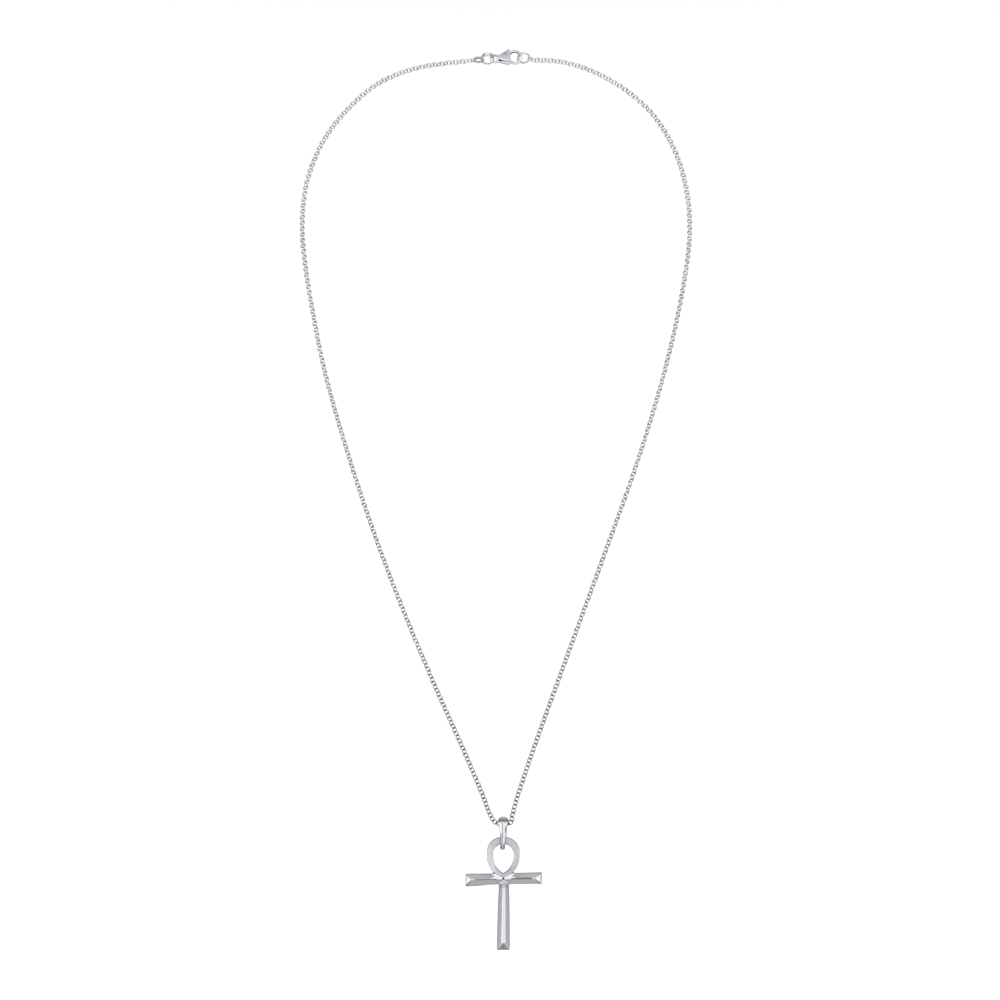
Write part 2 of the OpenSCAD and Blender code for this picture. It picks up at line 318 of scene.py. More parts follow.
chain = {
    "outside": 1.7,        # a link's outside diameter, mm
    "wire": 0.31,          # its wire
    "pitch": 1.055,        # from link to link
    "ringSides": 12, "wireSides": 5,
    "wayStep": 0.6,        # the route's direction is taken over this far each way
    "places": [0, 0.25, 0.4, 0.6, 0.8, 1],      # share of the way from the nape to the bail
    "odd": [12, 14, 26, 44, 42, 40],            # how every other link stands to the viewer there, degrees
    "even": [-53, -55, -58, -45, -44, -45],     # and the links between them
    "ends": [-46, 38, -50, 42],                 # the first two links and the last two
    "loose": 3,            # how far single links turn and lean, degrees
    "seed": 4,
    "dark": {              # painted shade, from 0 to 1
        "inner": 0.15,         # painted shade inside the wire, all round
        "bearing": 0.6,        # painted shadow where a link bears on its neighbours
        "shadeStrength": (0.35, 1.5),  # share of both painted shades at the nape, and how much it grows towards the bail
        "single": 0.5,         # the lightest single link's share of that
        "shade": 0.34,         # even painted shade, all of it at the bail
    },
    "finish": {
        "deep": (0.80, 0.81, 0.83), "bright": (0.96, 0.97, 0.99), "tarnish": (0.16, 0.155, 0.15),
        "driftScale": 240, "rubScale": 1800, "smooth": 0.08, "rough": 0.2, "bumpDepth": 0.002,
    },
}

# The chain's route, as in the solids, from the left end link to the hinge line in the bail
hang = [0, -122, -212.9]
leftEnd, rightEnd = [-8.71, 0, -0.8], [7.97, 0, -0.43]
routeLeft = [
    [-9.6, 0, -1], [-16.5, -2, -2], [-24, -5, -3.5], [-31, -7.5, -6],
    [-37, -11, -9.5], [-43, -14.5, -15], [-51, -22, -26], [-55.5, -30, -38.5],
    [-56.5, -39, -52], [-55, -48.5, -65], [-52.5, -57, -78], [-49.5, -65.5, -91.5],
    [-41.5, -81.5, -118], [-32, -96, -144.5], [-20.5, -109, -172],
    [-8, -118.5, -199.5], [-4.8, -120.5, -207], [-3.2, -121.6, -211],
    [-2, -122, -212.6], hang]
routeRight = [
    [8.9, 0, -0.8], [16, -2.5, -1.5], [23, -5, -3.5], [30, -8, -7],
    [36, -11, -11.2], [41.5, -14.5, -16.4], [48.5, -22, -28], [52, -30.5, -41],
    [52.5, -39.5, -54], [50.7, -49, -67], [47.9, -58, -80], [44.5, -66.5, -93],
    [36, -82.5, -119.5], [26, -97.5, -146], [15.5, -110, -173.5],
    [5.2, -119.5, -201.5], [3.2, -120.9, -207.5], [2.3, -121.6, -211],
    [1.95, -122, -212.5], hang]


def smoothRoute(points, lastWay, steps=24):
    # Cubic spans through the points; at each point the way is the mean of the two spans'
    # directions, each weighted by the other span's length
    p = np.array(points, float)
    span = np.diff(p, axis=0)
    length = np.linalg.norm(span, axis=1, keepdims=True)
    way = np.empty_like(p)
    way[0], way[-1] = span[0] / length[0], lastWay
    way[1:-1] = unit(span[:-1] / length[:-1] * length[1:] + span[1:] / length[1:] * length[:-1])
    t = (np.arange(steps) / steps)[None, :, None]
    a, b = p[:-1, None], p[1:, None]
    u, v = (way[:-1] * length)[:, None], (way[1:] * length)[:, None]
    curve = a * (1 + 2 * t) * (1 - t) ** 2 + u * t * (1 - t) ** 2
    curve = curve + b * t * t * (3 - 2 * t) - v * t * t * (1 - t)
    return np.concatenate([curve.reshape(-1, 3), p[-1:]])


def chainLinks(look):
    # Rings along the route at an even pitch, each turned about a quarter round it from the last
    left = smoothRoute(routeLeft, [1, 0, 0])
    right = smoothRoute(routeRight, [-1, 0, 0])
    route = np.concatenate([[leftEnd], left, right[-2::-1], [rightEnd]])
    run = np.r_[0, np.cumsum(np.linalg.norm(np.diff(route, axis=0), axis=1))]
    end, low = run[-1], run[len(left)]      # how far it is to the right end, and to the bail
    count = 2 * int(round(end / look["pitch"] / 2))
    s = np.linspace(0, end, count)
    at = lambda where: np.stack([np.interp(where, run, route[:, k]) for k in range(3)], -1)
    centre = at(s)
    way = unit(at(np.minimum(s + look["wayStep"], end)) - at(np.maximum(s - look["wayStep"], 0)))
    share = np.where(s < low, s / low, (end - s) / (end - low))
    rng = np.random.default_rng(look["seed"])
    odd, even = (np.interp(share, look["places"], look[kind]) for kind in ("odd", "even"))
    twist = np.where(np.arange(count) % 2, odd, even) + rng.normal(0, look["loose"], count)
    twist[[0, 1, -2, -1]] = look["ends"]
    twist = np.radians(twist)[:, None]
    toViewer = np.array([0, -1, 0.0])
    face = unit(toViewer - (way @ toViewer)[:, None] * way)
    side = np.cross(way, face)
    normal = np.cos(twist) * face + np.sin(twist) * side
    across = np.cross(normal, way)
    lean = np.radians(rng.normal(0, look["loose"], count))[:, None]
    along = unit(np.cos(lean) * way + np.sin(lean) * normal)
    normal = np.cross(along, across)
    # u goes round the ring and v round the wire
    u = 2 * pi * np.arange(look["ringSides"]) / look["ringSides"]
    v = 2 * pi * np.arange(look["wireSides"]) / look["wireSides"]
    r = look["wire"] / 2
    big = (look["outside"] - look["wire"]) / 2 + r * np.cos(v)[None, :] + 0 * u[:, None]
    c, a, b, n = (m[:, None, None, :] for m in (centre, along, across, normal))
    ring = np.cos(u)[:, None, None] * a + np.sin(u)[:, None, None] * b
    grid = (c + big[..., None] * ring + r * np.sin(v)[None, :, None] * n) * mm
    # Painted shadow where a link bears on its neighbours, at both ends of u's first axis, and painted shade
    # inside its wire
    dark = look["dark"]
    bearing = dark["bearing"] * (np.cos(u)[:, None] ** 6) * (0.6 - 0.4 * np.cos(v)[None, :])
    paintedShade = dark["inner"] * np.clip(-np.cos(v), 0, 1)[None, :] + bearing
    shadeStrength = rng.uniform(dark["single"], 1, count) * (dark["shadeStrength"][0] + dark["shadeStrength"][1] * share)
    paintedShade = paintedShade[None] * shadeStrength[:, None, None] + dark["shade"] * (share ** 3)[:, None, None]
    return grid, np.clip(paintedShade, 0, 1)


chainSilver = silver("chainSilver", chain["finish"])
links, linkPaintedShade = chainLinks(chain)
oneLink = gridQuads(chain["ringSides"], chain["wireSides"], True, True)


def linkPiece(name, part, *nodes):
    # Some of the links as one piece, which stands for the nodes
    grid, paintedShade = links[part], linkPaintedShade[part]
    perLink = grid.shape[1] * grid.shape[2]
    quads = (oneLink[None] + (perLink * np.arange(len(grid)))[:, None, None]).reshape(-1, 4)
    piece = buildMesh(name, grid.reshape(-1, 3), quads, 180, paintedShade)
    dress(piece, chainSilver, "necklace")
    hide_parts(*nodes)


linkPiece("chain", slice(1, -1), "chain_left", "chain_right")
linkPiece("end_link_left", slice(0, 1), "link_left")
linkPiece("end_link_right", slice(-1, None), "link_right")
print("chain made:", len(links), "links")

rings = {
    "each": {
        # middle, radius, thickness across the ring, width along its axis and the same at its top, how
        # square its section is (1 is round), lean about X and place of the cut in degrees
        "ring_left": ((-7.1, -0.72), 1.4, 0.48, 0.55, 0.8, 0.5, -58, 200),
        "ring_eye": ((-4.5, -0.5), 1.8, 0.36, 0.42, 1.6, 0.5, 47, 75),
        "ring_hook": ((6.05, -0.2), 1.72, 0.5, 0.52, 0.6, 1, 43, 60),
    },
    "around": 120, "sides": 24,
    "cutDeep": 0.1, "cutWide": 0.04,      # hairline groove where the ends meet
    # painted shade inside the band, on its outer face and under the ring
    "dark": {"inner": 0.3, "outer": 0.2, "under": 0.3},
    "finish": {
        "deep": (0.82, 0.83, 0.85), "bright": (0.96, 0.97, 0.99), "tarnish": (0.3, 0.295, 0.29),
        "driftScale": 180, "rubScale": 1200, "smooth": 0.07, "rough": 0.17, "bumpDepth": 0.002,
    },
}


def ringSurface(at, radius, thick, held, wide, square, cut, look):
    # A band carried round a circle in the upright plane, wider at its top. Sine and cosine are raised
    # to a power for its section, and it is a little thinner where its ends meet
    u = 2 * pi * np.arange(look["around"])[:, None] / look["around"]
    v = 2 * pi * np.arange(look["sides"]) / look["sides"]
    section = lambda w: np.sign(w) * np.abs(w) ** square
    gap = (u - radians(cut) + pi) % (2 * pi) - pi
    thin = 1 - look["cutDeep"] * mound(gap * radius, look["cutWide"])
    width = held + (wide - held) * ease((np.sin(u) - 0.3) / 0.55)
    big = radius + thin * thick / 2 * section(np.cos(v))
    y = thin * width / 2 * section(np.sin(v))
    points = np.stack([big * np.cos(u), y, big * np.sin(u)], -1).reshape(-1, 3) + np.array([at[0], 0, at[1]])
    # Painted shade inside the band, a little on its outer face, and under the ring
    dark = look["dark"]
    paintedShade = dark["inner"] * np.clip(-np.cos(v), 0, 1) ** 2 + dark["outer"] * np.clip(np.cos(v), 0, 1) ** 4
    paintedShade = paintedShade + dark["under"] * np.clip(-np.sin(u), 0, 1) ** 3
    return points, gridQuads(look["around"], look["sides"], True, True), paintedShade


def hoopSurface(look, at, radius, wire, start, end, around):
    # A wire with a flattish front carried round a circle in the upright plane, from a start angle that
    # may differ round the wire, so that the end is cut on the slant; the ends' edges are softened
    sides = look["wireSides"]
    whole = np.max(end - start) >= 360
    t = np.linspace(0, 1, around, endpoint=not whole)[:, None]
    v = 2 * pi * np.arange(sides) / sides
    u = np.radians(start + (end - start) * t) + 0 * v
    thin = 1
    if not whole:
        fromEnd = radius * np.minimum(u - u[0], u[-1] - u)
        thin = 1 - fillet(fromEnd, look["wireEnd"]) / (wire / 2)
    big = radius + thin * wire / 2 * np.cos(v)
    y = thin * look["wireDeep"] * wire * np.sign(np.sin(v)) * np.abs(np.sin(v)) ** look["wireFlat"]
    points = np.stack([big * np.cos(u), y + 0 * u, big * np.sin(u)], -1)
    faces = gridQuads(around, sides, whole, True)
    if not whole:
        ring = np.arange(sides)
        faces = np.concatenate([faces, capQuads(ring), capQuads(ring[::-1] + (around - 1) * sides)])
    return points.reshape(-1, 3) + np.array([at[0], 0, at[1]]), faces


def leanBack(points, at, degrees):
    # Points turned about a line along X through the ring's middle
    c, s = np.cos(radians(degrees)), np.sin(radians(degrees))
    y, z = points[:, 1], points[:, 2] - at[1]
    return np.stack([points[:, 0], c * y - s * z, s * y + c * z + at[1]], -1)


ringSilver = silver("ringSilver", rings["finish"])
for node, (at, radius, thick, held, wide, square, lean, cut) in rings["each"].items():
    points, faces, paintedShade = ringSurface(at, radius, thick, held, wide, square, cut, rings)
    hoop = buildMesh("hoop_" + node, leanBack(points, at, lean) * mm, faces, 60, paintedShade)
    dress(hoop, ringSilver, "necklace")
    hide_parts(node)
print("rings made")

clasp = {
    "left": -1.85, "right": 2.02,
    "topX": [-1.85, -0.6, 1.2, 1.7, 2.02], "topZ": [0.35, 0.88, 2.03, 2.32, 2.26],
    "lowX": [-1.85, -0.4, 1.3, 1.7, 2.02], "lowZ": [-1.44, -1.7, -2.08, -2.14, -1.9],
    "ridgeX": [-1.85, -1.4, 0, 1.6, 2.02], "ridgeZ": [-0.2, -0.24, -0.62, -1.02, -1.1],
    "half": 0.98, "slot": 0.52,               # half the body's thickness, half the gap for the lever
    "fallUp": 0.16, "fallDown": 0.3,          # how far the face falls away above and below the ridge
    "ridgeUp": 0.08, "ridgeWide": 0.32,
    "grooveDeep": 0.36, "grooveWide": 0.17, "grooveBelow": [0.6, 0.42],
    "edge": 0.16,
    "eye": ((-2.4, -0.38), 1.05, 0.66),       # middle, radius and wire
    "hook": ((3.45, 0), 1.75, 0.8, 150),      # the same, and the angle where it leaves the cheeks
    "mouth": 1.46, "mouthHigh": 1.4,          # the cheeks stay out of this circle in the hook
    "pivot": (0.95, 0.15), "tipReach": 3.13,  # the hook's tip is cut on an arc about the pivot
    "steps": (60, 44), "edgeSteps": 4,
    "wireSteps": (72, 96), "wireSides": 24,
    "wireDeep": 0.47, "wireFlat": 0.62, "wireEnd": 0.08,
    "dark": {
        # painted shade, from 0 to 1
        "groove": 1.5,
        "broadShade": (0.22, 0.2),                 # painted shade above the ridge: at its foot, and more for each mm up
        "mouth": 0.55, "slot": 0.5,
        "wire": (0.05, 0.95),                 # painted shade inside the wire all round, and more at its top
        "wireOut": 0.3,
    },
    "finish": {
        "deep": (0.86, 0.87, 0.89), "bright": (0.95, 0.96, 0.98), "tarnish": (0.05, 0.05, 0.05),
        "driftScale": 300, "rubScale": 1100, "smooth": 0.14, "rough": 0.22, "bumpDepth": 0.003,
    },
}
lever = {
    "finish": {
        "deep": (0.78, 0.79, 0.81), "bright": (0.9, 0.91, 0.93),
        "driftScale": 300, "rubScale": 1100, "smooth": 0.14, "rough": 0.22, "bumpDepth": 0.003,
    },
}


def cheekSurface(look, side):
    # One cheek of the clasp between its top and bottom lines. Its face falls away above and below a
    # rounded ridge line, with a groove cut just under the ridge, and rounds over at its edges
    along, across = look["steps"]
    s = evenEdges(0, 1, look["edge"] / 4, along, look["edgeSteps"])[:, None]     # 4 mm long
    t = evenEdges(0, 1, look["edge"] / 3, across, look["edgeSteps"])[None, :]    # and 3 mm high
    x = look["left"] + (look["right"] - look["left"]) * s + 0 * t
    high, low = np.interp(x, look["topX"], look["topZ"]), np.interp(x, look["lowX"], look["lowZ"])
    z = low + (high - low) * t
    hookX = look["hook"][0][0]
    mouth = hookX - np.sqrt(np.maximum(look["mouth"] ** 2 - z * z, 0))
    x = np.where(np.abs(z) < look["mouthHigh"], np.minimum(x, mouth), x)
    up = z - np.interp(x, look["ridgeX"], look["ridgeZ"])
    face = look["half"] - look["fallUp"] * np.clip(up / 2, 0, 1) ** 1.2
    face = face - look["fallDown"] * np.clip((-up - 0.3) / 1.1, 0, 1)
    face = face + look["ridgeUp"] * np.exp(-(up / look["ridgeWide"]) ** 4)
    # The groove starts near the eye, and is shallower and thinner from the middle on
    below = np.interp(s, [0.2, 0.8], look["grooveBelow"])
    groove = look["grooveDeep"] * mound(up + below, look["grooveWide"] * (1.25 - 0.6 * s))
    groove = groove * ease((x + 1.4) / 0.4) * (1 - 0.65 * ease(x + 0.8))
    inside = np.minimum(np.minimum(high - z, z - low), np.minimum(x - look["left"], look["right"] - x) + 0.02)
    face = face - groove - fillet(inside, look["edge"])
    front = np.stack([x, side * face, z], -1).reshape(-1, 3)
    rear = np.stack([x, side * look["slot"] + 0 * x, z], -1).reshape(-1, 3)
    nu, nv = x.shape
    rim, top = rimOf(nu, nv), gridQuads(nu, nv, False, False)
    faces = np.concatenate([top, top[:, ::-1] + nu * nv, wallQuads(rim, rim + nu * nv)[:, ::-1]])
    if side > 0:
        faces = faces[:, ::-1]
    # Painted shade in the groove, over the face above the ridge, round the hook's mouth and on the faces
    # inside the slot
    dark = look["dark"]
    broadShade = (dark["broadShade"][0] + dark["broadShade"][1] * np.clip(up, 0, 2)) * ease((up - 0.25) / 0.14)
    broadShade = broadShade * (1 - 0.5 * ease((x - 0.6) / 1.4))
    shadow = dark["mouth"] * mound(np.hypot(x - hookX, z) - 1.5, 0.16)
    paintedShade = np.clip(dark["groove"] * groove / look["grooveDeep"] + broadShade + shadow, 0, 1)
    paintedShade = np.concatenate([paintedShade.ravel(), np.full(nu * nv, dark["slot"])])
    return np.concatenate([front, rear]), faces, paintedShade


def tipAngle(look):
    # Angle at which each line of the hook's wire crosses the tip's arc: the cosine rule with the
    # pivot, the hook's middle and the line's radius
    (hx, hz), radius, wire, _ = look["hook"]
    r = radius + wire / 2 * np.cos(2 * pi * np.arange(look["wireSides"]) / look["wireSides"])
    dx, dz = hx - look["pivot"][0], hz - look["pivot"][1]
    apart = np.hypot(dx, dz)
    turn = np.arccos((look["tipReach"] ** 2 - apart ** 2 - r * r) / (2 * r * apart))
    return np.degrees(np.arctan2(dz, dx) - turn)


def wireShade(points, at, radius, wire, dark):
    # Painted shade on a round wire: most inside it at the top, and a little on its outer face. The way out
    # from the wire's middle line is measured in half wires
    out = (np.hypot(points[:, 0] - at[0], points[:, 2] - at[1]) - radius) / (wire / 2)
    top = ease((points[:, 2] - at[1]) / radius + 0.3)
    inner = (dark["wire"][0] + dark["wire"][1] * top) * ease((-0.1 - out) / 0.5)
    return np.clip(inner + dark["wireOut"] * np.clip(out, 0, 1) ** 4, 0, 1)


cheeks = [cheekSurface(clasp, side) for side in (-1, 1)]
eyeHoop = hoopSurface(clasp, *clasp["eye"], 0, 360, clasp["wireSteps"][0])
hook, hookEnd = clasp["hook"][:3], clasp["hook"][3]
hookHoop = hoopSurface(clasp, *hook, tipAngle(clasp), hookEnd, clasp["wireSteps"][1])
shades = [wireShade(eyeHoop[0], *clasp["eye"], clasp["dark"]), wireShade(hookHoop[0], *hook, clasp["dark"])]
points, faces = join([cheek[:2] for cheek in cheeks] + [eyeHoop, hookHoop])
paintedShade = np.concatenate([cheek[2] for cheek in cheeks] + shades)
shell = buildMesh("clasp_shell", points * mm, faces, 50, paintedShade)
dress(shell, silver("claspSilver", clasp["finish"]), "necklace")
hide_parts("clasp_body")
dress(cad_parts["clasp_lever"], silver("leverSilver", lever["finish"]))
print("clasp made")

bail = {
    "upZ": -0.3, "upR": 1.75, "footZ": -4.55, "footR": 1.6,     # its two rounds, seen from the side
    "wall": 0.8, "footMore": 0.2,             # its thickness, and how much thicker the foot is
    "heights": [1.9, 1.7, 1.3, 0.85, 0.3, -0.4, -2.35, -3.9, -5.6, -6.6, -7.0],
    "halfWidths": [0.6, 0.98, 1.32, 1.42, 1.22, 1.02, 0.92, 0.74, 0.64, 0.58, 0.5],
    "crease": 0.12, "creaseWide": 0.075, "creaseAt": -0.2,      # groove down the front
    "hollow": 0.14, "hollowWide": 0.15, "hollowAt": 0.68,       # smaller one near the right edge
    "crown": 0.16, "swell": 0.05,             # how far the sides fall, and the swells' height
    "edge": 0.2, "insideEdge": 0.12,
    "askew": 0.18,                            # how far to the left the foot stands
    "along": 160, "across": 61,
    "dark": {
        # painted shade in the crease and hollow, over the cap, round the foot and inside the loop
        "crease": 0.6, "hollow": 1, "cap": 0.76, "foot": 0.55, "inside": 0.3,
        "flank": (0.45, 0.3), "bright": 0.05,     # painted shade left and right of a painted highlight line, and where that line runs
    },
    "finish": {
        "deep": (0.82, 0.83, 0.85), "bright": (0.96, 0.97, 0.99), "tarnish": (0.12, 0.12, 0.12),
        "driftScale": 200, "rubScale": 900, "smooth": 0.07, "rough": 0.18, "bumpDepth": 0.002,
    },
}


def dropLoop(z1, r1, z2, r2, n):
    # Two half rounds joined by straight sides, walked round once at an even pace: n points, and the
    # direction out of the loop at each
    lean, fine = np.arcsin((r2 - r1) / (z1 - z2)), 400
    angle = np.r_[np.linspace(lean, pi - lean, fine), np.linspace(pi - lean, 2 * pi + lean, fine)]
    out = np.stack([np.cos(angle), np.sin(angle)], -1)
    middle = np.r_[np.tile([0, z1], (fine, 1)), np.tile([0, z2], (fine, 1))]
    path = middle + out * np.r_[np.full(fine, r1), np.full(fine, r2)][:, None]
    run = np.r_[0, np.cumsum(np.linalg.norm(np.diff(np.r_[path, path[:1]], axis=0), axis=1))]
    s = run[-1] * np.arange(n) / n
    wrap = lambda v: np.stack([np.interp(s, run, np.r_[v[:, k], v[:1, k]]) for k in range(2)], -1)
    return wrap(path), unit(wrap(out))


def bailSurface(look):
    # A closed section carried round the side view: flat inside, two soft swells outside with a
    # groove between them at the front, and a width that tapers with the height
    path, out = dropLoop(look["upZ"], look["upR"], look["footZ"], look["footR"], look["along"])
    outer = path + out * look["wall"] / 2
    level = outer[:, 1:]
    half = np.interp(outer[:, 1], look["heights"][::-1], look["halfWidths"][::-1])
    kernel = np.hanning(9) / np.hanning(9).sum()
    half = np.convolve(np.r_[half[-4:], half, half[:4]], kernel, "valid")[:, None]
    x = half * np.sin(np.linspace(-pi / 2, pi / 2, look["across"]))[None, :]
    aside, inside = np.abs(x), half - np.abs(x)
    front = ease(-outer[:, :1] / 1.2)
    stem = front * ease((0.9 - level) / 0.8)
    crease = look["crease"] * stem * ease((level + 6) / 1.2)
    crease = crease * mound(x - look["creaseAt"] * half, look["creaseWide"])
    hollow = look["hollow"] * stem * mound(x - look["hollowAt"] * half, look["hollowWide"])
    hollow = hollow * mound(level + 1.4, 0.9)
    high = look["wall"] / 2 + look["footMore"] * ease((-5 - level) / 1.2)
    high = high - fillet(inside, look["edge"]) - crease - hollow
    high = high - look["crown"] * (aside / half) ** 2 + look["swell"] * stem * mound(aside - 0.5 * half, 0.25)
    under = -look["wall"] / 2 + fillet(inside, look["insideEdge"])
    # Painted shade in both grooves, over the top, down the stem beside a painted highlight line, and round
    # the foot
    dark = look["dark"]
    beside = x - dark["bright"]
    flank = sided(beside, dark["flank"]) * front * ease((-1.7 - level) / 1.6)
    flank = flank * (1 - 0.9 * ease((-4.8 - level) / 0.6)) * ease((np.abs(beside) - 0.15) / 0.12)
    foot = np.maximum(ease((-5.1 - level) / 0.5) * ease((aside - 0.14) / 0.15), ease((-6.05 - level) / 0.4))
    grooves = np.maximum(dark["crease"] * crease / look["crease"], dark["hollow"] * hollow / look["hollow"])
    cap = dark["cap"] * front * mound(level - 1.1, 0.5)
    paintedShade = np.maximum(grooves, np.maximum(cap, flank + dark["foot"] * foot))
    paintedShade = np.concatenate([paintedShade, np.full_like(under[:, -2:0:-1], dark["inside"])], 1)
    x = np.concatenate([x, x[:, -2:0:-1]], 1) - look["askew"] * ease((-3 - level) / 3)
    high = np.concatenate([high, under[:, -2:0:-1]], 1)
    y, z = path[:, :1] + out[:, :1] * high, path[:, 1:] + out[:, 1:] * high
    return (np.stack([x, y, z], -1) + np.array(hang)) * mm, paintedShade


grid, paintedShade = bailSurface(bail)
bailPiece = buildMesh("bail_loop", grid.reshape(-1, 3), gridQuads(*grid.shape[:2], True, True), 70, paintedShade)
dress(bailPiece, silver("bailSilver", bail["finish"]), "bail")
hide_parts("bail")
print("bail made")

cross = {
    "at": (0, -122, -227.04),                 # where the arms' ridge crosses the upright
    "back": 0.7,                              # how far behind that the flat back lies
    "ridge": 1.9, "wall": 1.1,                # heights of ridges and outer edges above the flat back
    "armEnd": 9.8, "armAside": 0.1,           # half the arms' length, how far right their middle is
    "armHalf": (1.37, 1.48),                  # half their height in the middle and at their ends
    "armSlant": 0.02, "armDrop": -0.08,       # their middle line's slope, and its height at the middle
    "flare": 0.26,                            # how far the left arm's lower edge runs down
    "ear": 0.36, "earX": 2.5, "earWide": 0.28,      # points on the arms' upper edge beside the loop
    "hipReach": (1.4, 1.75), "hipSlope": 0.4,       # length of the left and right hips, their slope
    "ridgeFlat": 0.17, "ridgeStep": 0.18,           # flat above the arms' ridge, and drop below it
    "footZ": -18.35, "footHip": 1.75, "uprightTop": -1.42,      # its foot, the foot's hip, its top
    "uprightZ": [-18.35, -17.1, -12, -5.5, -3.0, -1.45, 0],
    "uprightHalf": [1.65, 1.66, 1.585, 1.46, 1.34, 1.27, 1.25],
    "flatZ": [-18.35, -12, -4, -2, -0.2],           # the flat strip down the upright
    "flatHalf": [0.34, 0.34, 0.32, 0.3, 0.1],
    "flatHigh": [1.87, 1.87, 1.87, 1.84, 1.5],
    "lean": 0.18,                             # the upright stands this far to the right at its top
    "valley": 0.2,                            # softness where arms and upright meet
    "shoulder": 0.66, "shoulderFoot": 1.2,    # how high and how far out the arms swell to the loop
    "pit": 0.3, "pitWide": 0.25,
    "edge": 0.17, "corner": 0.32, "backEdge": (0.08, 0.06), "uneven": 0.005,
    "armSteps": 230, "uprightSteps": 190, "acrossSteps": 35, "edgeSteps": 5,
    "dark": {
        # painted shade, from 0 to 1
        "line": 0.95, "lineUp": (0.03, 0.1), "lineWide": (0.15, 0.2),  # painted shade along the arms' ridge
        "pit": 1.3, "brow": 0.34, "foot": 0.35,   # painted shade at the crossing, the upright's top and its foot
        "under": 0.2, "over": 0.07,           # painted shade on the crossing, below and above the arms' ridge
        "ear": 0.9, "rim": 0.45, "strip": 0.18,
        "hip": 0.2, "beforeHip": 0.12,
        "seam": (0.85, 0.45),                 # painted shadow along the hips below the ridge, and above the right one
        "back": 0.12,
    },
    "finish": {
        "deep": (0.93, 0.94, 0.96), "bright": (0.97, 0.98, 1.0), "tarnish": (0.1, 0.1, 0.1),
        "driftScale": 120, "rubScale": 420, "rubStretch": (1, 1, 3),
        "smooth": 0.15, "rough": 0.21, "bumpDepth": 0.002,
    },
}
loop = {
    # outer outline: radius and height of its top round, how far that stands aside, half its width,
    # radius and height of its sides; and the inner outline's rounds
    "topR": 3.76, "topZ": 6.9, "shift": 0.45, "half": 4.21, "sideR": 5.67, "sideZ": 5.8,
    "eyeR": 2.71, "eyeZ": 6.21, "eyeSideR": 5.15, "eyeSideZ": 5.93,
    "face": 1.4, "faceLow": 1.99,             # height of the band's face, and of its pointed end
    "sunk": 0.04,                             # how far its back lies inside the arms' back
    "edge": 0.24, "backEdge": 0.1, "swell": 0.07, "uneven": 0.014,
    "along": 144, "across": 25,
    "dark": {
        "broadShade": 0.92, "left": 0.25,          # painted shade all over, and how much less of it the left has
        "right": 0.3, "top": 0.2, "back": 0.8,
    },
    "finish": {
        "deep": (0.89, 0.9, 0.92), "bright": (0.96, 0.97, 0.99), "tarnish": (0.59, 0.595, 0.615),
        "driftScale": 160, "rubScale": 500, "rubStretch": (1, 1, 4),
        "smooth": 0.2, "rough": 0.3, "dull": 0.12, "bumpDepth": 0.006,
    },
}
crossAt = np.array(cross["at"], float)
back = cross["back"]


def dropOutline(topR, topZ, shift, half, sideR, sideZ, n):
    # Right half of a pointed drop in n even steps, from the point up: an arc, then a round to the top
    low = np.arccos((sideR - half) / sideR)
    a = np.linspace(-low, 0, 300)
    arc = np.stack([half - sideR + sideR * np.cos(a), sideZ + sideR * np.sin(a)], -1)
    b = np.linspace(0, pi / 2, 300)
    top = np.stack([shift + topR * np.cos(b), topZ + topR * np.sin(b)], -1)
    line = np.concatenate([arc, top, [[0, topZ + topR]]])
    run = np.r_[0, np.cumsum(np.linalg.norm(np.diff(line, axis=0), axis=1))]
    s = np.linspace(0, run[-1], n)
    return np.stack([np.interp(s, run, line[:, k]) for k in range(2)], -1)


def faceHeight(z, look):
    # The band's face rises towards its point, to stand clear of the arms
    return look["face"] + (look["faceLow"] - look["face"]) * ease((3.6 - z) / 2.8)


def loopSurface(look):
    # A flat band between two drop outlines, its section carried once round
    n = look["along"] // 2 + 1
    outer = dropOutline(*(look[key] for key in ("topR", "topZ", "shift", "half", "sideR", "sideZ")), n)
    inner = dropOutline(look["eyeR"], look["eyeZ"], 0, look["eyeR"], look["eyeSideR"], look["eyeSideZ"], n)
    whole = lambda half: np.concatenate([half, half[-2:0:-1] * [-1, 1]])
    outer, inner = whole(outer), whole(inner)
    width = np.linalg.norm(outer - inner, axis=1)[:, None]
    s = 0.5 - 0.5 * np.cos(pi * np.linspace(0, 1, look["across"]))
    inside = width * np.minimum(s, 1 - s)[None, :]
    at = inner[:, None] + (outer - inner)[:, None] * s[None, :, None]
    x, z = at[..., 0], at[..., 1]
    high = faceHeight(z, look) - fillet(inside, look["edge"]) + look["swell"] * (4 * s * (1 - s))[None, :]
    high = high + wave(x, z, look["uneven"])
    rear = (back - look["sunk"] - fillet(inside, look["backEdge"]))[:, -2:0:-1]
    # Painted shade all over, left off along the edges halfway up as a painted highlight, and more at the
    # lower right and the top
    dark = look["dark"]
    side = mound(z - 5.6, 2.6)
    paintedShade = dark["broadShade"] * (1 - side * (1 - ease((inside - 0.02) / 0.4)))
    paintedShade = paintedShade * (1 - dark["left"] * side * ease(-x / 3))
    paintedShade = paintedShade + dark["right"] * np.tanh(x / 1.5) * mound(z - 2.6, 1.8) + dark["top"] * ease((z - 8) / 1.5)
    paintedShade = np.concatenate([paintedShade, np.full_like(rear, dark["back"])], 1)
    at = np.concatenate([at, at[:, -2:0:-1]], 1)
    y = np.concatenate([back - high, rear], 1)
    return (np.stack([at[..., 0], y, at[..., 1]], -1) + crossAt) * mm, paintedShade


def armLines(x, look):
    # The arms' middle line, how far their upper and lower edges lie from it, and the way to their ends
    mid = look["armDrop"] + look["armSlant"] * x
    fromEnd = look["armEnd"] - np.abs(x - look["armAside"])
    half = look["armHalf"][0] + (look["armHalf"][1] - look["armHalf"][0]) * (1 - fromEnd / look["armEnd"])
    upper = half + look["ear"] * mound(np.abs(x) - look["earX"], look["earWide"])
    lower = half + look["flare"] * ease((-x - 2.5) / 5)
    return mid, half, upper, lower, fromEnd


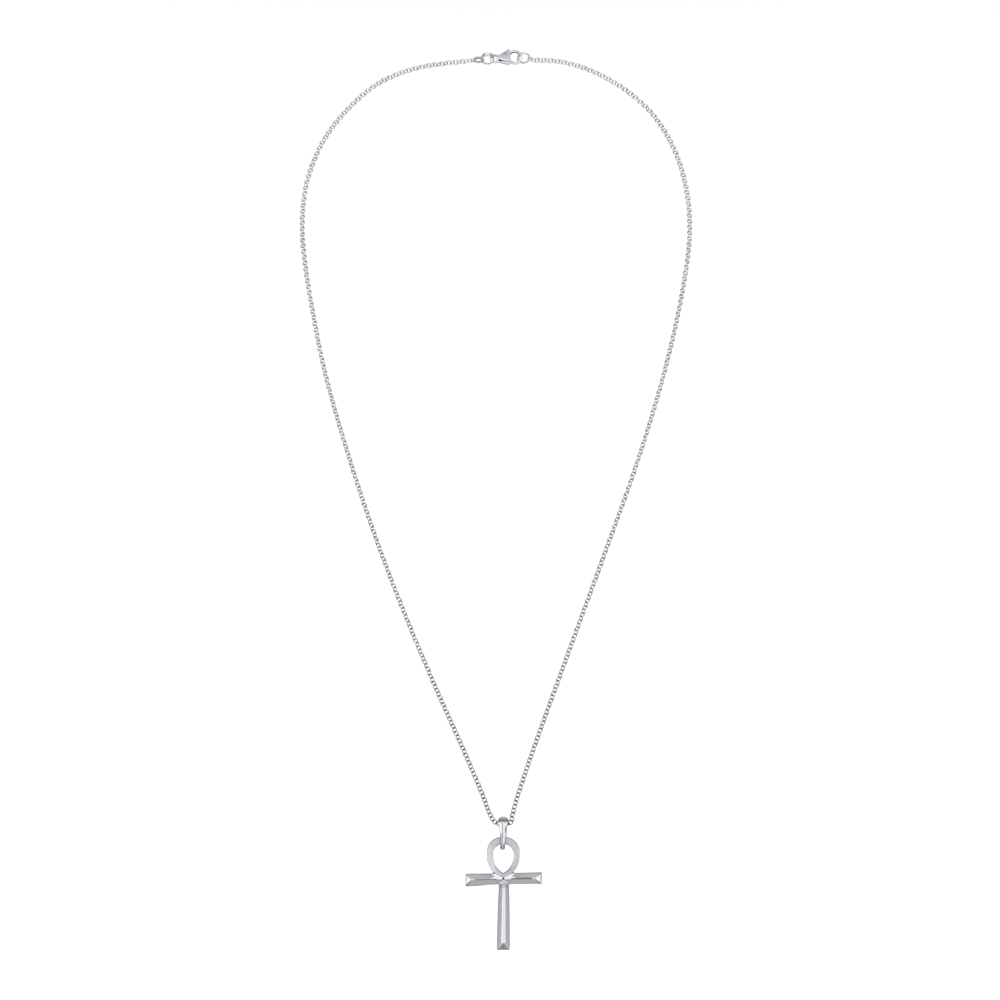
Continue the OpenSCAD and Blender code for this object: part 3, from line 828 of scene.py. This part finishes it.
def armsRoof(x, q, lines, look):
    # Height of the arms, q above their middle line, and how far inside a hip's triangle a place lies.
    # Above the line the face is flat and then falls evenly to the edge, below it there is a small step
    # before the fall. A hip rises evenly from the end, with a narrow ledge where it meets the roof
    _, half, upper, lower, fromEnd = lines
    fall = look["ridge"] - look["wall"]
    above = look["ridge"] - fall * np.clip((q - look["ridgeFlat"]) / (half - look["ridgeFlat"]), 0, 1.4)
    below = look["ridge"] - look["ridgeStep"] * ease(-q / 0.14)
    below = below - (fall - look["ridgeStep"]) * np.clip(-q / lower, 0, 1.4)
    roof = np.where(q > 0, above, below)
    reach = sided(x, look["hipReach"])
    hip = look["ridge"] - look["hipSlope"] * (reach - fromEnd)
    within = reach * (1 - 0.93 * np.where(q > 0, q / upper, -q / lower)) - fromEnd
    return roof + (hip - roof) * ease(within / 0.16 + 0.3), within


def uprightRoof(x, z, look):
    # Height of the upright, half its width, and the way from its middle. A flat strip runs down it,
    # the faces beside it fall evenly to the edges, the foot is hipped, and it ends below the loop
    flat = np.interp(z, look["flatZ"], look["flatHalf"])
    top = np.interp(z, look["flatZ"], look["flatHigh"])
    wide = np.interp(z, look["uprightZ"], look["uprightHalf"])
    aside = np.abs(x - look["lean"] * (1 - z / look["footZ"]))
    over = np.sqrt(np.maximum(aside - flat + 0.1, 0) ** 2 + 0.02) - 0.14
    high = top - (top - look["wall"]) * over / (wide - flat)
    fall = look["ridge"] - look["wall"]
    high = smoothMin(high, look["wall"] + 0.9 * fall * (z - look["footZ"]) / look["footHip"], 0.04)
    return high - 3 * np.maximum(z + 0.1, 0), wide, aside


def crossHeight(x, z, look):
    # Height of the cast face over the back, and how much painted shade it carries. Arms and upright are two
    # roofs that cross, and the higher one shows. Beside the loop the arms swell up to the band, a small pit
    # lies where the ridges cross, and the outer edges are rounded over
    lines = armLines(x, look)
    mid, half, upper, lower, fromEnd = lines
    q = z - mid
    arms, within = armsRoof(x, q, lines, look)
    upright, wide, aside = uprightRoof(x, z, look)
    high = smoothMax(arms, upright, look["valley"])
    fromLoop = np.hypot(np.abs(x) + loop["sideR"] - loop["half"], z - loop["sideZ"]) - loop["sideR"]
    swellTo = look["shoulderFoot"] + ease(1 - q / half)
    rise = look["shoulder"] * ease(q / 0.12 + 0.5) * np.clip(1 - fromLoop / swellTo, 0, 1)
    high = np.where(rise > 0, np.minimum(high + rise, faceHeight(z, loop) - 0.05), high)
    pit = mound(np.hypot(1.25 * x, z - 0.06), look["pitWide"])
    inArms = np.minimum(np.minimum(upper - q, lower + q), fromEnd)
    inUpright = np.where(z < -0.3, np.minimum(wide - aside, z - look["footZ"]), -1)
    inside = np.maximum(inArms, inUpright)
    high = high - look["pit"] * pit - fillet(inside, look["edge"])
    high = high + wave(x * 1.1, z * 0.9, look["uneven"])
    # Painted shade along the arms' ridge, round the crossing, under the upright's top, on foot, hips, ears
    # and strip, along the hips' seams and round the rim
    dark = look["dark"]
    line = mound(q - sided(x, dark["lineUp"]), sided(x, dark["lineWide"]))
    line = line * ease((np.abs(x) - 1.2) / 0.8) * ease((7.6 - np.abs(x)) / 0.6)
    line = line * np.where(x > 0, ease((x - 1.6) / 0.8), dark["line"])
    brow = dark["brow"] * ease((upright - arms - 0.04) / 0.08) * ease((z + 2.8) / 1.1)
    foot = dark["foot"] * (look["footHip"] * (1 - aside / wide) > z - look["footZ"])
    near = dark["under"] * mound(x, 1.7) * ease((-q - 0.05) / 0.1) + dark["over"] * ease((q - 0.2) / 0.1)
    near = near * (arms > upright)
    ears = dark["ear"] * mound(np.hypot(np.abs(x) - 2.6, q - 1.6), 0.26)
    rim = dark["rim"] * mound(inside - 0.06, 0.14) * (rise < 0.3)
    strip = dark["strip"] * mound(aside, 0.45) * (upright > arms)
    before = dark["beforeHip"] * mound(fromEnd - 2.2, 0.7) * mound(q, 0.4)
    hips = np.where(within > 0, dark["hip"] * mound(fromEnd, 1.1), before)
    seam = mound(within + 0.06, 0.2) * np.where(q > 0, dark["seam"][1] * (x > 0), dark["seam"][0])
    seam = seam * ease((np.abs(q) - 0.35) / 0.3)
    paintedShade = line + dark["pit"] * pit + brow + foot + near + ears + rim + strip + hips + seam
    return high, np.clip(paintedShade, 0, 1)


def crossSlab(x, z, rearAt, look):
    # A closed slab under a grid of the cast face: the face, a flat back with softened edges, and walls
    high, paintedShade = crossHeight(x, z, look)
    front = np.stack([x, back - high, z], -1).reshape(-1, 3)
    rear = np.stack([x, rearAt + 0 * x, z], -1).reshape(-1, 3)
    nu, nv = x.shape
    rim, top = rimOf(nu, nv), gridQuads(nu, nv, False, False)
    upBy, inBy = look["backEdge"]
    middle = rear[rim] - [0, upBy, 0]
    rear[rim] += inBy * unit(rear.mean(0) - rear[rim])
    count = nu * nv
    ring = 2 * count + np.arange(len(rim))
    walls = [wallQuads(rim, ring)[:, ::-1], wallQuads(ring, rim + count)[:, ::-1]]
    faces = np.concatenate([top, top[:, ::-1] + count, *walls])
    paintedShade = np.concatenate([paintedShade.ravel(), np.full(count + len(rim), look["dark"]["back"])])
    return (np.concatenate([front, rear, middle]) + crossAt) * mm, faces, paintedShade


def armsGrid(look):
    # Across the whole width, between the arms' upper and lower edges, with rounded corners and ears.
    # Up and down, the rounded edge is a share of the arms' half height, about 1.4 mm
    steps = look["armSteps"], look["edgeSteps"]
    x = look["armAside"] + evenEdges(-look["armEnd"], look["armEnd"], look["edge"], *steps)[:, None]
    mid, _, upper, lower, fromEnd = armLines(x, look)
    q = evenEdges(-1, 1, look["edge"] / 1.4, look["acrossSteps"], look["edgeSteps"])[None, :]
    return x + 0 * q, mid + (np.where(q > 0, upper, lower) - fillet(fromEnd, look["corner"])) * q


def uprightGrid(look):
    # From the arms' lower edge down to the foot, as wide as the upright is at each height. Its top
    # row follows the arms' slant, and the slant fades down the upright. The rounded edges are shares
    # of its length, 17 mm, and half width, 1.5 mm
    t = np.r_[0, evenEdges(0, 1, look["edge"] / 17, look["uprightSteps"], look["edgeSteps"])[1:]][:, None]
    q = evenEdges(-1, 1, look["edge"] / 1.5, look["acrossSteps"], look["edgeSteps"])[None, :]
    z = look["uprightTop"] + (look["footZ"] - look["uprightTop"]) * t + 0 * q
    wide = np.interp(z, look["uprightZ"], look["uprightHalf"])
    wide = wide - fillet(z - look["footZ"], look["corner"])
    x = wide * q + look["lean"] * (1 - z / look["footZ"])
    return x, z + look["armSlant"] * x * (1 - t) ** 8


loopSilver = silver("loopSilver", loop["finish"])
barSilver = silver("barSilver", cross["finish"])
grid, paintedShade = loopSurface(loop)
loopPiece = buildMesh("cross_loop", grid.reshape(-1, 3), gridQuads(*grid.shape[:2], True, True), 60, paintedShade)
dress(loopPiece, loopSilver, "cross")
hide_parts("ankh")
slabs = ("cross_arms", armsGrid(cross), back), ("cross_upright", uprightGrid(cross), back - 0.02)
for name, plan, rearAt in slabs:
    points, faces, paintedShade = crossSlab(*plan, rearAt, cross)
    piece = buildMesh(name, points, faces, 60, paintedShade)
    dress(piece, barSilver, "cross")
    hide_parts("ankh")
print("cross made")
